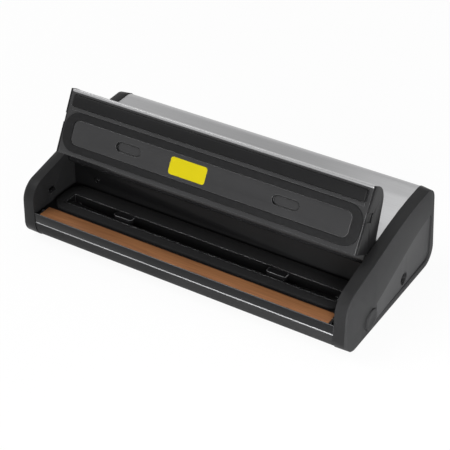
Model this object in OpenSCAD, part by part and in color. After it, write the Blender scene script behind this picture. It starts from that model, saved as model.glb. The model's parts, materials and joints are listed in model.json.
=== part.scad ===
// Countertop vacuum sealer: a wedge-shaped housing between two end cheeks, with a
// deck that carries the sealing strip and the vacuum trough, and a hinged lid.
// Frame: origin on the standing surface below the middle of the body, +X to the
// right, -Y to the front, +Z up. The lid is drawn open, as it stands for loading.

/* [Overall] */
// Width over the two end covers
body_w = 380; // [350:1:410]
// Depth from front to back
body_d = 190; // [186:1:204]
// Height of the cheeks at their crown
body_h = 100; // [98:0.5:103]
// Height of the base above the standing surface
foot_drop = 2; // [1.5:0.5:4]

/* [Side outline] */
// Radius of the rounded nose
nose_r = 22; // [20:0.5:23]
// Height of the nose centre
nose_z = 47.2; // [46:0.2:48]
// Fall of the lid and panel towards the front, in degrees
slope_angle = 14.7; // [14.2:0.1:15.2]
// Radius where the top turns down to the back
rear_top_r = 16; // [12:1:20]
// How far the back leans forward at the top
rear_lean = 4.5; // [2:0.5:7]
// Radius where the back meets the base
rear_bottom_r = 18; // [14:1:22]
// Radius where the front meets the base
front_bottom_r = 20; // [16:1:23]

/* [Cheeks] */
// Thickness of a cheek with its cover
cheek_t = 14.5; // [14:0.1:16]
// Thickness of a side cover
cover_t = 3; // [2.8:0.1:3.4]
// Wall of a cheek towards the lid
cheek_wall = 2.2; // [2:0.1:2.6]
// Rim of a cheek around its pocket
cheek_rim = 2.4; // [2:0.1:3]
// Fall of the outer edge towards the front, in degrees
outer_slope_angle = 12.2; // [11.9:0.1:12.6]
// Drop of the outer edge below the inner one at the crown
outer_drop = 5.5; // [4.8:0.1:6]
// Depth of the sunk panel in a side cover at its back end
facet_depth = 2; // [1.2:0.1:2.2]

/* [Shell] */
// Step from the cheeks down to the lid and panels
panel_inset = 0.6; // [0.4:0.1:1]
// Thickness of the top panel
panel_t = 2; // [1.6:0.1:2.6]
// Thickness of the moulded covers
shell_t = 2.4; // [2:0.1:3]
// Gap between parts that are screwed together
fit_gap = 0.2; // [0.1:0.05:0.3]

/* [Lid] */
// Depth of the lid from its front edge to its back face
lid_d = 67.5; // [66:0.5:69]
// Height of the lid's flat face when it is shut
lid_face_z = 40; // [39.6:0.1:41]
// Distance of the hinge axis behind the lid's back face
hinge_back = 2.3; // [2:0.1:2.8]
// Radius from the hinge axis up to the outline
hinge_r = 9.3; // [9:0.1:9.8]
// Radius of the hinge pins
hinge_pin_r = 3.5; // [3:0.1:4]
// Running clearance of the hinge pins, on the radius
pin_play = 0.05; // [0.02:0.01:0.1]
// Opening angle of the lid
lid_open_angle = 118.9; // [110:0.1:119.5]
// Gap between a lid end and its cheek
lid_side_gap = 1; // [0.6:0.1:1.6]
// Thickness of the steel skin
skin_t = 1; // [0.8:0.1:1.4]
// Thickness of the end caps
cap_t = 2.2; // [2:0.1:3]
// Thickness of the liner's face
liner_t = 5; // [4.6:0.1:6]
// Number of stiffening bays in the liner
liner_bays = 8; // [4:1:12]

/* [Seals] */
// Width of the foam gasket along its long sides
gasket_w = 7.5; // [6:0.5:8.5]
// Width of the foam gasket at its ends
gasket_end_w = 11; // [8:0.5:13]
// Depth over the whole gasket
gasket_d = 41.5; // [40:0.5:42.5]
// Outer corner radius of the gasket
gasket_r = 16.5; // [14:0.5:19]
// Height that the lid gasket stands proud
gasket_proud = 1.2; // [0.8:0.1:1.5]
// Gap left between facing seals when the lid is shut
seal_gap = 0.3; // [0.2:0.05:0.4]
// Width of the silicone pressure bar
bar_w = 12; // [10:0.5:12.5]
// Height that the pressure bar stands proud
bar_proud = 2.7; // [2.2:0.1:3]

/* [Deck] */
// Height of the deck
deck_z = 35; // [34:0.2:35.6]
// Thickness of the deck
deck_t = 3; // [2.4:0.1:3.4]
// Width of the release tape from front to back
tape_w = 15.4; // [13:0.2:15.8]
// Length of the release tape
tape_l = 338; // [300:1:342]
// Depth of the trough's mouth from front to back
trough_d = 18.5; // [17:0.5:19]
// Depth of the trough below the deck
trough_drop = 13; // [11:0.5:14]
// Width of a bag stop
stop_w = 22; // [16:1:26]
// Distance of a bag stop from the middle
stop_x = 91; // [70:1:110]

/* [Release buttons and catches] */
// Radius of a release button
release_r = 11.2; // [9:0.1:11.4]
// Distance of a release button behind the front
release_y = 51; // [49:0.5:54]
// Travel of a release button
release_travel = 2.2; // [1.6:0.1:2.4]
// Reach of a catch past the cheek wall
catch_reach = 2; // [1.4:0.1:2.1]

/* [Controls] */
// Width of the control strip
strip_w = 150; // [110:1:190]
// Spacing of the control buttons
key_pitch = 26; // [22:1:28]
// Travel of a control button
key_travel = 0.8; // [0.4:0.1:1]

/* [Ports and feet] */
// Bore radius of the accessory hose port
port_r = 4.4; // [3.5:0.1:5]
// Radius of a rubber foot
foot_r = 8; // [6:0.5:9]

/* [Hidden] */
$fn = 96;

// Colours
matte_black = [0.10, 0.10, 0.11];
gloss_black = [0.13, 0.13, 0.14];
grey_cover = [0.20, 0.20, 0.21];
steel = [0.72, 0.72, 0.73];
foam_black = [0.05, 0.05, 0.05];
tape_brown = [0.45, 0.28, 0.18];

// Frame values worked out from the sizes above
front_y = -body_d / 2;
back_y = body_d / 2;
base_z = foot_drop;
inner_x = body_w / 2 - cheek_t;
cover_x = body_w / 2 - cover_t;
span_x = inner_x - fit_gap;
outer_h = body_h - outer_drop;
far = 2 * body_w;

nose_c = [front_y + nose_r, nose_z];
rear_bottom_c = [back_y - rear_bottom_r, base_z + rear_bottom_r];
front_bottom_c = [front_y + front_bottom_r, base_z + front_bottom_r];
function rear_top_c(top) = [back_y - rear_lean - rear_top_r, top - rear_top_r];

function turn(a) = [cos(a), sin(a)];
function along(c, r, a) = c + r * turn(a);
// Points of an arc from angle a0 to a1, in steps of about arc_step degrees
arc_step = 5;
function arc(c, r, a0, a1) =
    let (n = max(2, ceil(abs(a1 - a0) / arc_step)))
    [for (i = [0 : n]) along(c, r, a0 + (a1 - a0) * i / n)];
// Direction of the outward normal where a line touches circle a and then circle b, going clockwise
function tangent_normal(ca, ra, cb, rb) =
    atan2(cb[1] - ca[1], cb[0] - ca[0]) + acos((ra - rb) / norm(cb - ca));
// Height of the slope line at depth y
function slope_z(y, slope = slope_angle, inset = 0) =
    (turn(slope + 90) * nose_c + nose_r - inset + sin(slope) * y) / cos(slope);
// Radius of the crown arc that meets the slope line and the level top without a kink
function crown_r(slope, top) =
    (turn(slope + 90) * nose_c + nose_r + sin(slope) * rear_top_c(top)[0] - cos(slope) * top) / (1 - cos(slope));

// Hinge and lid places, all for the shut lid
lid_back_y = front_y + lid_d;
hinge_y = lid_back_y + hinge_back;
hinge_z = slope_z(hinge_y) - hinge_r / cos(slope_angle);
barrel_r = hinge_r - panel_inset;
barrel_gap = 0.6;
lid_half = inner_x - lid_side_gap;
cap_x = lid_half - cap_t;
cap_proud = 0.3;
hem_w = 2.5;

// Seals, by their distance from the lid's back face
gasket_s = 4;
gasket_half = cap_x - 0.8;
gasket_depth = 2;
bar_s = gasket_s + gasket_d + 4.5;
bar_half = cap_x - 4.3;
bar_depth = 3;
panel_proud = 0.6;
rib_w = 3.2;

// Deck places
trim_bottom_z = 26;
channel_front_y = front_y + 1.8;
channel_back_y = channel_front_y + tape_w + 0.2;
channel_floor_z = deck_z - 6;
bar_top_z = lid_face_z - bar_proud - seal_gap - 0.6;
ribbon_t = 0.2;
tape_t = 0.4;
trim_top_z = bar_top_z + ribbon_t;
ring_top_z = lid_face_z - gasket_proud - seal_gap;
ring_bottom_z = deck_z - 1;
ring_half = gasket_half;
ring_back_y = lid_back_y;
ring_front_y = lid_back_y - gasket_s - gasket_d - 0.5;
mouth_back_y = ring_back_y - 17;
mouth_front_y = mouth_back_y - trough_d;
mouth_half = ring_half - gasket_end_w;
trough_wall = 2;
tray_floor_z = deck_z - trough_drop + 1.5;
tray_bottom_z = deck_z - trough_drop;
rear_wall_y = hinge_y + 1.2;

// Catches: a rocker in each cheek turns about a pin between the button and the hook
button_y = front_y + release_y;
button_z = base_z + cheek_rim + release_r + 0.4;
catch_pin_z = button_z + 16;
catch_pin_x = inner_x + 7.1;
catch_pin_r = 1.5;
catch_plate_t = 2.4;
hook_y = front_y + 31;
hook_w = 7.5;
hook_z = lid_face_z + 7.6;
hook_h = 2.4;

// The slope's own frame, in the middle of the control strip
strip_y = -0.8;
strip_d = 16;
strip_t = 3.4;
key_w = 16;
key_d = 7;
key_h = 3.9;
key_gap = 0.25;
key_proud = 0.4;
board_z = -9.4;
board_t = 1.6;

port_y = 29;
port_z = 18;
inlet_x = -150;
inlet_z = 34;
inlet_w = 23;
inlet_h = 14;
inlet_depth = 16;

foot_x = body_w / 2 - 40;
foot_front_y = front_y + 30;
foot_back_y = back_y - 24;
screw_x = 120;
screw_front_y = front_y + 26;
screw_back_y = back_y - 12;
screw_post_r = 4.5;
screw_r = 1.6;
screw_head_r = 3.3;
screw_join_z = base_z + 12;

// ---------------------------------------------------------------- outlines

module at_circle(c, r) {
    translate(c) circle(r);
}

// Side view of the body, as (y, z), shrunk by inset
module side_outline(inset = 0, slope = slope_angle, top = body_h) {
    rear_c = rear_top_c(top);
    crown = crown_r(slope, top);
    back_a = tangent_normal(rear_c, rear_top_r, rear_bottom_c, rear_bottom_r);
    polygon([
        each arc(front_bottom_c, front_bottom_r - inset, 270, 180),
        each arc(nose_c, nose_r - inset, 180, slope + 90),
        each arc([rear_c[0], top - crown], crown - inset, slope + 90, 90),
        each arc(rear_c, rear_top_r - inset, 85, back_a),
        each arc(rear_bottom_c, rear_bottom_r - inset, back_a, -90)
    ]);
}

module outer_outline(inset = 0) {
    side_outline(inset, outer_slope_angle, outer_h);
}

// A strip of the outline that follows the surface, from one inset to another
module outline_band(from, thickness) {
    difference() {
        side_outline(from);
        side_outline(from + thickness);
    }
}

// Everything between two heights
module above(z) {
    translate([-far, z]) square([2 * far, far]);
}

module below(z) {
    translate([-far, z - far]) square([2 * far, far]);
}

module behind(y) {
    translate([y, -far]) square([far, 2 * far]);
}

module before(y) {
    translate([y - far, -far]) square([far, 2 * far]);
}

// Extrudes a side view, drawn as (y, z), from x0 to x1
module along_x(x0, x1) {
    translate([x0, 0, 0]) rotate([90, 0, 90]) linear_extrude(x1 - x0) children();
}

module across(half) {
    along_x(-half, half) children();
}

// Rectangle with rounded corners from y0 to y1, centred on x = 0
module rounded_plan(half, y0, y1, r) {
    translate([-half + r, y0]) square([2 * (half - r), y1 - y0]);
    translate([-half, y0 + r]) square([2 * half, y1 - y0 - 2 * r]);
    for (x = [-half + r, half - r], y = [y0 + r, y1 - r]) at_circle([x, y], r);
}

module slot_plan(w, d) {
    rounded_plan(w / 2, -d / 2, d / 2, d / 2 - 0.01);
}

// Space that the lid sweeps round its hinge, grown by gap, as (y, z)
module lid_keepout(gap) {
    r = barrel_r + gap;
    face_a = slope_angle - lid_open_angle + 180;
    hinge = [hinge_y, hinge_z];
    face_end = along(hinge, r, face_a - 90) + 60 * turn(face_a);
    polygon([
        each arc(hinge, r, 180, face_a + 270),
        face_end,
        face_end + (r + 20) * turn(face_a + 90)
    ]);
}

// Turns what is drawn for the shut lid to the open lid
module lid_open() {
    translate([0, hinge_y, hinge_z]) rotate([-lid_open_angle, 0, 0]) translate([0, -hinge_y, -hinge_z]) children();
}

module mirrored_pair() {
    children();
    mirror([1, 0, 0]) children();
}

// A frame on the slope with +Z square to it, at the middle of the control strip
module on_slope() {
    translate([0, strip_y, slope_z(strip_y)]) rotate([slope_angle, 0, 0]) children();
}

module y_cylinder(x, y0, y1, z, r) {
    translate([x, y0, z]) rotate([-90, 0, 0]) cylinder(h = y1 - y0, r = r);
}

module x_cylinder(x0, x1, y, z, r) {
    translate([x0, y, z]) rotate([0, 90, 0]) cylinder(h = x1 - x0, r = r);
}

module box(x0, x1, y0, y1, z0, z1) {
    translate([x0, y0, z0]) cube([x1 - x0, y1 - y0, z1 - z0]);
}

module foot_places() {
    for (x = [-foot_x, foot_x], y = [foot_front_y, foot_back_y]) translate([x, y, 0]) children();
}

module screw_places() {
    for (x = [-screw_x, screw_x], y = [screw_front_y, screw_back_y]) translate([x, y, 0]) children();
}

// ---------------------------------------------------------------- housing

tray_top_z = rear_bottom_c[1];
tray_front_y = front_bottom_c[0];
foot_recess = 1;

module base_tray() {
    color(matte_black) difference() {
        union() {
            across(span_x) intersection() {
                outline_band(panel_inset, shell_t);
                below(tray_top_z);
                behind(tray_front_y);
            }
            screw_places() translate([0, 0, base_z + shell_t]) cylinder(h = screw_join_z - base_z - shell_t, r = screw_post_r);
        }
        foot_places() cylinder(h = base_z + panel_inset + foot_recess, r = foot_r + fit_gap);
        screw_places() {
            cylinder(h = far, r = screw_r + fit_gap);
            cylinder(h = screw_join_z - 4, r = screw_head_r + fit_gap);
        }
        vent_row(-60, 11);
        vent_row(60, 11);
    }
}

// Cooling slots through the base
vent_l = 26;
vent_w = 2.6;
vent_pitch = 5.4;

module vent_row(x, count) {
    for (i = [0 : count - 1])
        translate([x + (i - (count - 1) / 2) * vent_pitch, back_y - 62, 0])
            rotate(90) linear_extrude(base_z + 2 * shell_t) slot_plan(vent_l, vent_w);
}

module front_fascia() {
    color(matte_black) across(span_x) intersection() {
        outline_band(panel_inset, shell_t);
        below(trim_bottom_z - fit_gap);
        before(tray_front_y - fit_gap);
    }
}

trim_lip = 0.9;
trim_foot = 6;

module front_trim() {
    color(gloss_black) across(span_x) intersection() {
        side_outline(panel_inset);
        union() {
            translate([front_y, trim_bottom_z]) square([panel_inset + trim_lip, trim_top_z - trim_bottom_z]);
            translate([front_y, trim_bottom_z]) square([trim_foot, channel_floor_z - deck_t + 2.4 - trim_bottom_z]);
        }
    }
}

// Side view of the deck, its heater channel, its rear wall and the hinge cradle
module deck_section() {
    channel_bottom = channel_floor_z - 2.2;
    translate([channel_back_y, deck_z - deck_t]) square([rear_wall_y + shell_t - channel_back_y, deck_t]);
    translate([channel_front_y, channel_floor_z - 0.6]) square([channel_back_y - channel_front_y, 0.6]);
    translate([channel_front_y + 6, channel_bottom]) square([channel_back_y - channel_front_y - 6 + deck_t, 2.2]);
    translate([channel_back_y, channel_bottom]) square([deck_t, deck_z - channel_bottom]);
    difference() {
        union() {
            translate([rear_wall_y, deck_z - deck_t]) square([shell_t, hinge_z - deck_z]);
            intersection() {
                lid_keepout(barrel_gap + shell_t);
                behind(rear_wall_y);
                above(hinge_z - barrel_r - barrel_gap - shell_t);
                side_outline(panel_inset + panel_t);
            }
        }
        lid_keepout(barrel_gap);
    }
}

module trough_plan(grow) {
    rounded_plan(mouth_half + grow, mouth_front_y - grow, mouth_back_y + grow, 2 + grow);
}

module ring_plan(grow = 0) {
    difference() {
        rounded_plan(ring_half + grow, ring_front_y - grow, ring_back_y + grow, gasket_r + grow);
        trough_plan(0);
    }
}

suction_y = mouth_back_y - 4;
suction_r = 1.1;
barb_l = 4.5;

module chamber_deck() {
    trough_bottom = tray_bottom_z - trough_wall;
    color(matte_black) difference() {
        union() {
            across(span_x) deck_section();
            translate([0, 0, trough_bottom]) linear_extrude(deck_z - trough_bottom) trough_plan(trough_wall);
            for (x = [-screw_x, screw_x]) translate([x, screw_front_y, screw_join_z])
                cylinder(h = deck_z - deck_t + 0.5 - screw_join_z, r = screw_post_r);
            translate([nozzle_x, suction_y, trough_bottom - barb_l]) cylinder(h = barb_l + 1, r = hose_bore);
        }
        translate([0, 0, tray_bottom_z]) linear_extrude(far) trough_plan(0);
        translate([0, 0, ring_bottom_z]) linear_extrude(far) ring_plan(fit_gap / 2);
        for (x = [-screw_x, screw_x]) translate([x, screw_front_y, screw_join_z - 1]) cylinder(h = 11, r = screw_r);
        translate([nozzle_x, suction_y, 0]) cylinder(h = far, r = suction_r);
        y_cylinder(sensor_x, rear_wall_y - 1, rear_wall_y + shell_t + 1, sensor_z, sensor_r + fit_gap);
    }
}

// The tray's slope falls from the front rim to a channel that widens towards the middle
module drip_tray() {
    half = mouth_half - fit_gap;
    front = mouth_front_y + fit_gap;
    back = mouth_back_y - fit_gap;
    rim_z = ring_top_z - 0.4;
    slope_top = rim_z - 1.2;
    wall = 1;
    channel_l = half - 8.5;
    channel_mid = half - 54;
    color(gloss_black) difference() {
        translate([0, 0, tray_bottom_z])
            linear_extrude(rim_z - tray_bottom_z) rounded_plan(half, front, back, 1.8);
        // the sloping front
        across(half - wall) polygon([
            [front + wall, slope_top], [back - wall, slope_top - 0.42 * (back - front)],
            [back - wall, far], [front + wall, far]
        ]);
        // the collecting channel
        translate([0, 0, tray_floor_z]) linear_extrude(far) polygon([
            [-channel_l, back - wall], [-channel_l, back - 4], [-channel_mid, back - 11],
            [channel_mid, back - 11], [channel_l, back - 4], [channel_l, back - wall]
        ]);
        translate([nozzle_x, suction_y, 0]) cylinder(h = far, r = suction_r + 0.8);
        mirrored_pair() translate([0, 0, tray_floor_z]) linear_extrude(far) stop_plan(0.1);
    }
}

stop_d = 8;
stop_top_z = lid_face_z - 0.5;
stop_y = mouth_back_y - 8.6;

module stop_plan(grow = 0) {
    translate([stop_x, stop_y])
        rounded_plan(stop_w / 2 + grow, -stop_d / 2 - grow, stop_d / 2 + grow, 2.5 + grow);
}

module bag_stops() {
    color(gloss_black) mirrored_pair() difference() {
        translate([0, 0, tray_floor_z]) linear_extrude(stop_top_z - tray_floor_z) stop_plan();
        // hollowed from below to sit on the channel's floor
        translate([stop_x - stop_w / 2 + 2, stop_y - stop_d / 2 + 2, tray_floor_z - 1])
            cube([stop_w - 4, stop_d - 4, 9]);
    }
}

module lower_gasket() {
    color(foam_black) translate([0, 0, ring_bottom_z]) linear_extrude(ring_top_z - ring_bottom_z) ring_plan();
}

heater_half = span_x - 4;
ribbon_w = 3;
tape_leg = 3.6;

module heater_bar() {
    color(matte_black) box(
        -heater_half, heater_half,
        channel_front_y + tape_t, channel_back_y - tape_t - 0.2,
        channel_floor_z, bar_top_z
    );
}

module heating_ribbon() {
    mid_y = (channel_front_y + channel_back_y) / 2;
    color(steel) {
        box(-heater_half, heater_half, mid_y - ribbon_w / 2, mid_y + ribbon_w / 2, bar_top_z, bar_top_z + ribbon_t);
        mirrored_pair() box(heater_half, heater_half + 0.8, mid_y - ribbon_w / 2, mid_y + ribbon_w / 2,
            bar_top_z - 5, bar_top_z + ribbon_t);
    }
}

module release_tape() {
    top = bar_top_z + ribbon_t + tape_t;
    color(tape_brown) along_x(-tape_l / 2, tape_l / 2) difference() {
        translate([channel_front_y, top - tape_leg]) square([channel_back_y - channel_front_y - 0.2, tape_leg]);
        translate([channel_front_y + tape_t, 0])
            square([channel_back_y - channel_front_y - 0.2 - 2 * tape_t, top - tape_t]);
    }
}

// ---------------------------------------------------------------- cheeks

cheek_floor_x = inner_x + cheek_wall;
boss_r = hinge_pin_r + pin_play + 2.6;
boss_x = cover_x - 3.4;

window_z0 = hook_z - 1.2;
window_z1 = hook_z + hook_h + 2;

// Moulding draft from the cheek's inner face out to its rim
cheek_draft = 0.3;

module cheek_blank() {
    hull() {
        along_x(inner_x, inner_x + 0.01) side_outline();
        along_x(cover_x - 0.01, cover_x) outer_outline(cheek_draft);
    }
}

// Two lugs that hold a catch's pin
module catch_lugs() {
    for (y = [hook_y - hook_w / 2 - 3, button_y + 4.4])
        box(cheek_floor_x - 0.2, catch_pin_x + 2.6, y, y + 2, catch_pin_z - 2.6, catch_pin_z + 2.6);
}

module right_cheek_body(port) {
    difference() {
        union() {
            difference() {
                cheek_blank();
                along_x(cheek_floor_x, body_w) outer_outline(cheek_rim);
            }
            x_cylinder(cheek_floor_x - 0.2, boss_x, hinge_y, hinge_z, boss_r);
            catch_lugs();
        }
        x_cylinder(inner_x - 1, boss_x - 1.5, hinge_y, hinge_z, hinge_pin_r + pin_play);
        y_cylinder(catch_pin_x, hook_y - hook_w, button_y + 8, catch_pin_z, catch_pin_r);
        box(inner_x - 1, cheek_floor_x + 1, hook_y - hook_w / 2 - 0.8, hook_y + hook_w / 2 + 0.8, window_z0, window_z1);
        if (port) x_cylinder(inner_x - 1, cover_x, port_y, port_z, port_r + 2.6);
    }
}

module right_cheek() {
    color(matte_black) right_cheek_body(true);
}

module left_cheek() {
    color(matte_black) mirror([1, 0, 0]) right_cheek_body(false);
}

facet_front_y = front_y + 61;
facet_back_y = back_y - 8;
facet_bottom_z = base_z + 7;
facet_top_z = outer_h - 32.5;

// The sunk panel: its upper edge runs up beside the slope and levels out at the back
module facet_plan() {
    difference() {
        union() {
            polygon([
                [facet_front_y, facet_bottom_z], [facet_front_y, facet_bottom_z + 18],
                [facet_front_y + 43, facet_bottom_z + 33], [facet_front_y + 78, facet_top_z - 7.5],
                [facet_front_y + 98, facet_top_z - 2.4], [facet_back_y - 5, facet_top_z],
                [facet_back_y - 5, facet_bottom_z + 10], [facet_back_y - 10, facet_bottom_z]
            ]);
            polygon([
                [facet_back_y - 20, facet_bottom_z + 10], [facet_back_y - 20, facet_top_z - 5],
                [facet_back_y, facet_top_z - 5], [facet_back_y, facet_bottom_z + 10]
            ]);
            at_circle([facet_back_y - 5, facet_top_z - 5], 5);
            at_circle([facet_back_y - 10, facet_bottom_z + 10], 10);
        }
    }
}

module facet_cut() {
    run = facet_back_y - facet_front_y;
    intersection() {
        along_x(cover_x, body_w) facet_plan();
        translate([body_w / 2, facet_front_y, 0]) rotate([0, 0, atan(facet_depth / run)])
            translate([0, -run, -1]) cube([body_w, 3 * run, body_h]);
    }
}

module side_cover_body(port) {
    lip_x = cover_x - 2.4;
    color(grey_cover) difference() {
        union() {
            along_x(cover_x, body_w / 2) outer_outline(0.35);
            along_x(lip_x, cover_x) difference() {
                outer_outline(cheek_rim + fit_gap);
                outer_outline(cheek_rim + fit_gap + 1.5);
            }
        }
        facet_cut();
        x_cylinder(cover_x - 0.01, body_w, button_y, button_z, release_r + 0.4);
        x_cylinder(lip_x - 1, cover_x + 0.01, button_y, button_z, release_r + 3);
        if (port) x_cylinder(lip_x - 1, body_w, port_y, port_z, port_r + 2.6);
    }
}

module right_side_cover() {
    side_cover_body(true);
}

module left_side_cover() {
    mirror([1, 0, 0]) side_cover_body(false);
}

// ---------------------------------------------------------------- top and back

strip_flange = 2;
rear_seam_z = body_h - rear_top_r;

module strip_plan(grow) {
    rounded_plan(strip_w / 2 + grow, -strip_d / 2 - grow, strip_d / 2 + grow, 3 + grow);
}

module top_panel() {
    color(steel) difference() {
        across(span_x) difference() {
            intersection() {
                outline_band(panel_inset, panel_t);
                above(rear_seam_z - 18);
                union() {
                    above(rear_seam_z);
                    before(0);
                }
            }
            lid_keepout(barrel_gap + 0.3);
            before(hinge_y);
        }
        on_slope() translate([0, 0, -20]) linear_extrude(40) strip_plan(fit_gap);
    }
}

module rear_cover() {
    color(matte_black) difference() {
        union() {
            across(span_x) intersection() {
                outline_band(panel_inset, shell_t);
                behind(0);
                above(tray_top_z + fit_gap);
                below(rear_seam_z - fit_gap);
            }
            // a rebate that carries the panel's lower edge
            across(span_x) intersection() {
                outline_band(panel_inset + panel_t + fit_gap, 1.4);
                behind(back_y - 30);
                above(rear_seam_z - 6);
                below(rear_seam_z + 6);
            }
            for (x = [-screw_x, screw_x]) translate([x, screw_back_y, screw_join_z]) {
                cylinder(h = 16, r = screw_post_r);
                translate([-1.5, 0, 8]) cube([3, back_y - shell_t - screw_back_y - 1, 8]);
            }
        }
        for (x = [-screw_x, screw_x]) translate([x, screw_back_y, screw_join_z - 1]) cylinder(h = 11, r = screw_r);
        translate([inlet_x, back_y, inlet_z]) rotate([90, 0, 0]) translate([0, 0, -1])
            linear_extrude(12) rounded_plan(inlet_w / 2 + fit_gap, -inlet_h / 2 - fit_gap, inlet_h / 2 + fit_gap, 3);
    }
}

key_count = 4;

module key_places() {
    for (i = [0 : key_count - 1]) translate([key_x(i), 0, 0]) children();
}

function key_x(i) = (i - (key_count - 1) / 2) * key_pitch;

lens_x = key_pitch * key_count / 2 + 8;
lens_r = 1.3;

module lens_places() {
    for (x = [-lens_x, lens_x], y = [-3, 3]) translate([x, y, 0]) children();
}

strip_top = -panel_inset;
strip_under = strip_top - panel_t;

module control_strip() {
    color(gloss_black) on_slope() difference() {
        union() {
            translate([0, 0, strip_under - 1.2]) linear_extrude(strip_top - strip_under + 1.2) strip_plan(0);
            translate([0, 0, strip_under - 1.2]) linear_extrude(1.2 - 0.05) strip_plan(strip_flange);
            for (x = [-strip_w / 2 + 6, strip_w / 2 - 6])
                translate([x, 0, board_z + board_t]) cylinder(h = strip_under - board_z - board_t, r = 3);
        }
        key_places() translate([0, 0, -20]) linear_extrude(40) slot_plan(key_w + 2 * key_gap, key_d + 2 * key_gap);
        lens_places() translate([0, 0, -20]) cylinder(h = 40, r = lens_r + 0.05);
    }
}

module indicator_lenses() {
    color([0.75, 0.85, 0.9]) on_slope() lens_places()
        translate([0, 0, strip_under - 1.2]) cylinder(h = strip_top - strip_under + 1.3, r = lens_r);
}

switch_h = 3;

module control_board() {
    color([0.05, 0.25, 0.12]) on_slope() {
        translate([0, 0, board_z]) linear_extrude(board_t) strip_plan(-0.6);
        key_places() translate([-3, -3, board_z + board_t]) cube([6, 6, switch_h]);
    }
}

// A control button: a pill that stands just proud of the strip, with a stem over its switch
module key(i) {
    bottom = board_z + board_t + switch_h + key_travel + 0.2;
    color(matte_black) on_slope() translate([key_x(i), 0, 0]) {
        translate([0, 0, strip_under - 0.4]) linear_extrude(strip_top - strip_under + 0.4 + key_proud) slot_plan(key_w, key_d);
        translate([0, 0, bottom]) cylinder(h = strip_under - bottom, r = 1.8);
    }
}

module key_1() {
    key(0);
}

module key_2() {
    key(1);
}

module key_3() {
    key(2);
}

module key_4() {
    key(3);
}

// ---------------------------------------------------------------- ports, feet and screws

port_flange_r = port_r + 2.6 - fit_gap;
port_face_x = body_w / 2 - 1.9;

// A stepped bush: a wide mouth, a plain bore for the hose plug and a barb on the inside
module hose_port() {
    bore_x = cheek_floor_x - 0.6;
    color(matte_black) translate([0, port_y, port_z]) rotate([0, 90, 0]) difference() {
        union() {
            translate([0, 0, bore_x - 1.6]) cylinder(h = port_face_x - bore_x + 1.6, r = port_flange_r);
            translate([0, 0, inner_x - 10]) cylinder(h = 12, r = hose_bore);
        }
        translate([0, 0, bore_x]) cylinder(h = far, r = port_r);
        translate([0, 0, port_face_x - 1.2]) cylinder(h = far, r = port_r + 1.4);
        translate([0, 0, inner_x - 11]) cylinder(h = far, r = suction_r);
    }
}

// Two-pin inlet for a detachable mains lead, set square in the back
inlet_pin_x = 4.3;
inlet_pin_r = 1.2;
inlet_face_y = back_y - 1.3;

module inlet_cavity_plan() {
    for (x = [-inlet_pin_x, inlet_pin_x]) at_circle([x, 0], 4.3);
    translate([-inlet_pin_x, -4.3]) square([2 * inlet_pin_x, 8.6]);
}

module mains_inlet() {
    color(matte_black) translate([inlet_x, inlet_face_y, inlet_z]) rotate([90, 0, 0]) difference() {
        union() {
            linear_extrude(inlet_depth) rounded_plan(inlet_w / 2, -inlet_h / 2, inlet_h / 2, 3);
            translate([0, 0, 4.2])
                linear_extrude(1.6) rounded_plan(inlet_w / 2 + 3, -inlet_h / 2 - 3, inlet_h / 2 + 3, 3);
        }
        translate([0, 0, -1]) linear_extrude(inlet_depth - 1) inlet_cavity_plan();
        for (x = [-inlet_pin_x, inlet_pin_x]) translate([x, 0, -1]) cylinder(h = inlet_depth + 2, r = inlet_pin_r);
    }
}

module inlet_pins() {
    color(steel) translate([inlet_x, inlet_face_y, inlet_z]) rotate([90, 0, 0])
        for (x = [-inlet_pin_x, inlet_pin_x]) translate([x, 0, 2.5]) cylinder(h = inlet_depth + 2, r = inlet_pin_r);
}

module rubber_feet() {
    color(foam_black) foot_places() cylinder(h = base_z + panel_inset + foot_recess, r = foot_r);
}

module base_screws() {
    color(steel) screw_places() difference() {
        union() {
            translate([0, 0, screw_join_z - 7]) cylinder(h = 3, r = screw_head_r);
            translate([0, 0, screw_join_z - 7]) cylinder(h = 13, r = screw_r - 0.02);
        }
        translate([0, 0, screw_join_z - 8]) {
            translate([-2, -0.4, 0]) cube([4, 0.8, 2.4]);
            translate([-0.4, -2, 0]) cube([0.8, 4, 2.4]);
        }
    }
}

module catch_pins() {
    color(steel) mirrored_pair()
        y_cylinder(catch_pin_x, hook_y - hook_w / 2 - 3, button_y + 6.4, catch_pin_z, catch_pin_r - 0.01);
}

sensor_x = -146;
sensor_z = 48;
sensor_r = 3;

// A hollow peg in the rear wall through which the lid's position is sensed
module lid_sensor() {
    color(gloss_black) difference() {
        union() {
            y_cylinder(sensor_x, rear_wall_y - 1.2, rear_wall_y + shell_t + 6, sensor_z, sensor_r);
            y_cylinder(sensor_x, rear_wall_y + shell_t, rear_wall_y + shell_t + 2, sensor_z, sensor_r + 2);
        }
        y_cylinder(sensor_x, rear_wall_y - 2, rear_wall_y + shell_t, sensor_z, 1.3);
    }
}

// ---------------------------------------------------------------- lid, drawn shut and then opened

module lid_outline(inset) {
    r = hinge_r - inset;
    polygon([
        [front_y + inset, lid_face_z],
        each arc(nose_c, nose_r - inset, 180, slope_angle + 90),
        each arc([hinge_y, hinge_z], r, slope_angle + 90, -acos(-hinge_back / r)),
        [lid_back_y, lid_face_z]
    ]);
}

// The steel skin wraps the nose and the slope and turns under at the front edge
module skin_section() {
    difference() {
        intersection() {
            lid_outline(panel_inset);
            before(hinge_y - hinge_r * sin(slope_angle));
        }
        intersection() {
            side_outline(panel_inset + skin_t);
            above(lid_face_z + skin_t);
        }
        intersection() {
            side_outline(panel_inset + skin_t);
            behind(front_y + panel_inset + hem_w);
        }
    }
}

module lid_skin() {
    color(steel) lid_open() across(cap_x) skin_section();
}

bay_wall = 3;
bay_l = (2 * cap_x - bay_wall) / liner_bays;

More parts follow.
